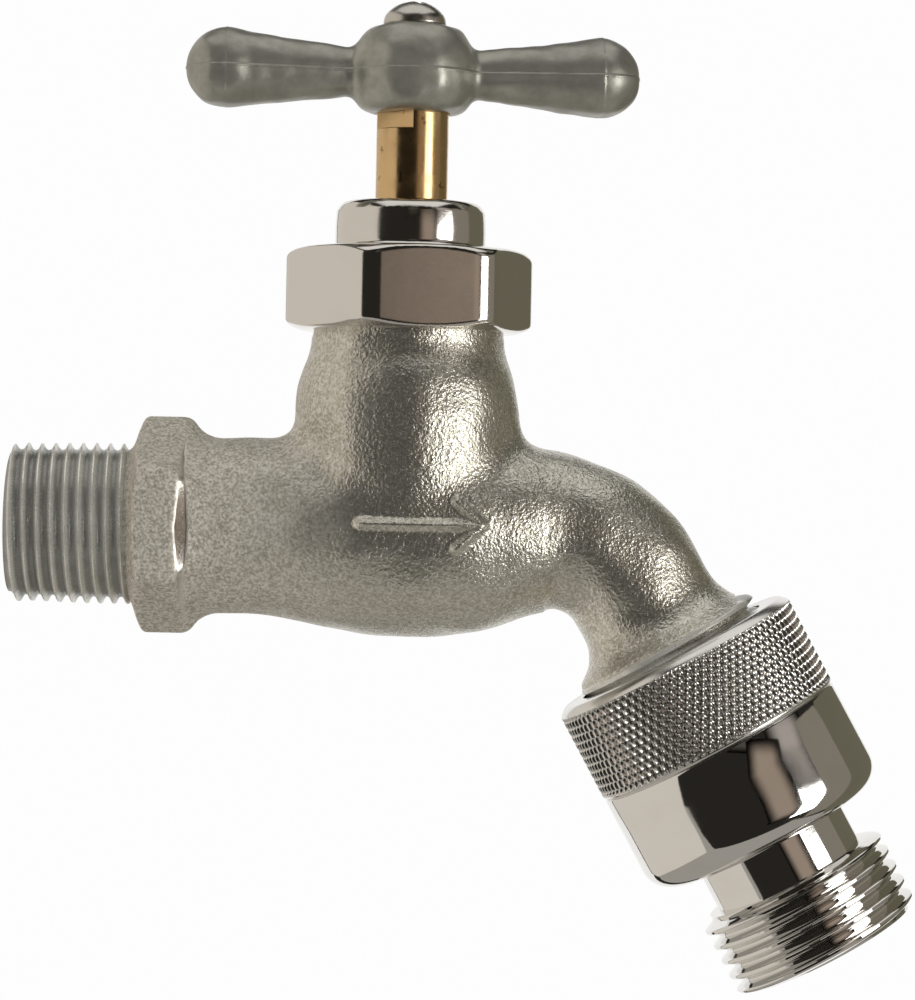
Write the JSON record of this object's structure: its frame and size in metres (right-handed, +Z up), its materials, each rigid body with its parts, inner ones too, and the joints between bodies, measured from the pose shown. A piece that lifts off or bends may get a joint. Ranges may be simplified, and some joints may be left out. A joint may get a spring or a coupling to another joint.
{
  "type": "hose bib",
  "caption": "Chrome-plated garden tap with a male pipe inlet, a tee handle and a vacuum breaker with a knurled collar on its slanted male hose outlet.",
  "frame": {"origin": "centre of the inlet's open end, on the pipe thread's axis", "axes": "+X along the inlet into the valve, +Z up along the stem, +Y away from the side that shows the raised arrow"},
  "size_m": [0.1209, 0.0342, 0.1309],
  "materials": {
    "rough_chrome": "rough chrome over a sand-cast skin",
    "polished_chrome": "polished chrome",
    "brass": "turned brass",
    "zinc": "satin die-cast zinc",
    "screw_nickel": "bright plated steel",
    "seat_rubber": "black rubber",
    "diaphragm_rubber": "soft black rubber",
    "graphite": "graphite packing",
    "plated_brass": "plain brass",
    "acetal": "white acetal",
    "stainless": "stainless steel wire"
  },
  "bodies": {
    "valve": {"valve_body": "rough_chrome", "packing_washer": "plated_brass", "stem_packing": "graphite", "packing_nut": "polished_chrome", "knurled_collar": "polished_chrome", "hose_washer": "seat_rubber", "break_off_screw": "plated_brass", "breaker_shell": "polished_chrome", "diaphragm": "diaphragm_rubber", "check_guide": "acetal", "check_spring": "stainless"},
    "seat_disc": {"swivel_disc": "plated_brass", "seat_washer": "seat_rubber", "washer_screw": "plated_brass"},
    "stem_and_handle": {"stem": "brass", "handle": "zinc", "handle_screw": "screw_nickel"},
    "check": {"check_poppet": "acetal", "check_clip": "stainless"}
  },
  "joints": [
    {"name": "stem_lift", "type": "slide", "parent": "valve", "child": "seat_disc", "axis": [0, 0, 1], "range_m": [0, 0.00376]},
    {"name": "stem_turn", "type": "hinge", "parent": "seat_disc", "child": "stem_and_handle", "pos_m": [0.0521, 0, 0], "axis": [0, 0, 1], "range_deg": [0, 540]},
    {"name": "check_slide", "type": "slide", "parent": "valve", "child": "check", "axis": [0.4848, 0, -0.8746], "range_m": [0, 0.0025], "stiffness_N_per_m": 60, "springref_m": -0.008, "deforming": ["check_spring"]}
  ],
  "couplings": [
    {"joint": "stem_lift", "follows": "stem_turn", "m_per_rad": 0.00039789}
  ]
}
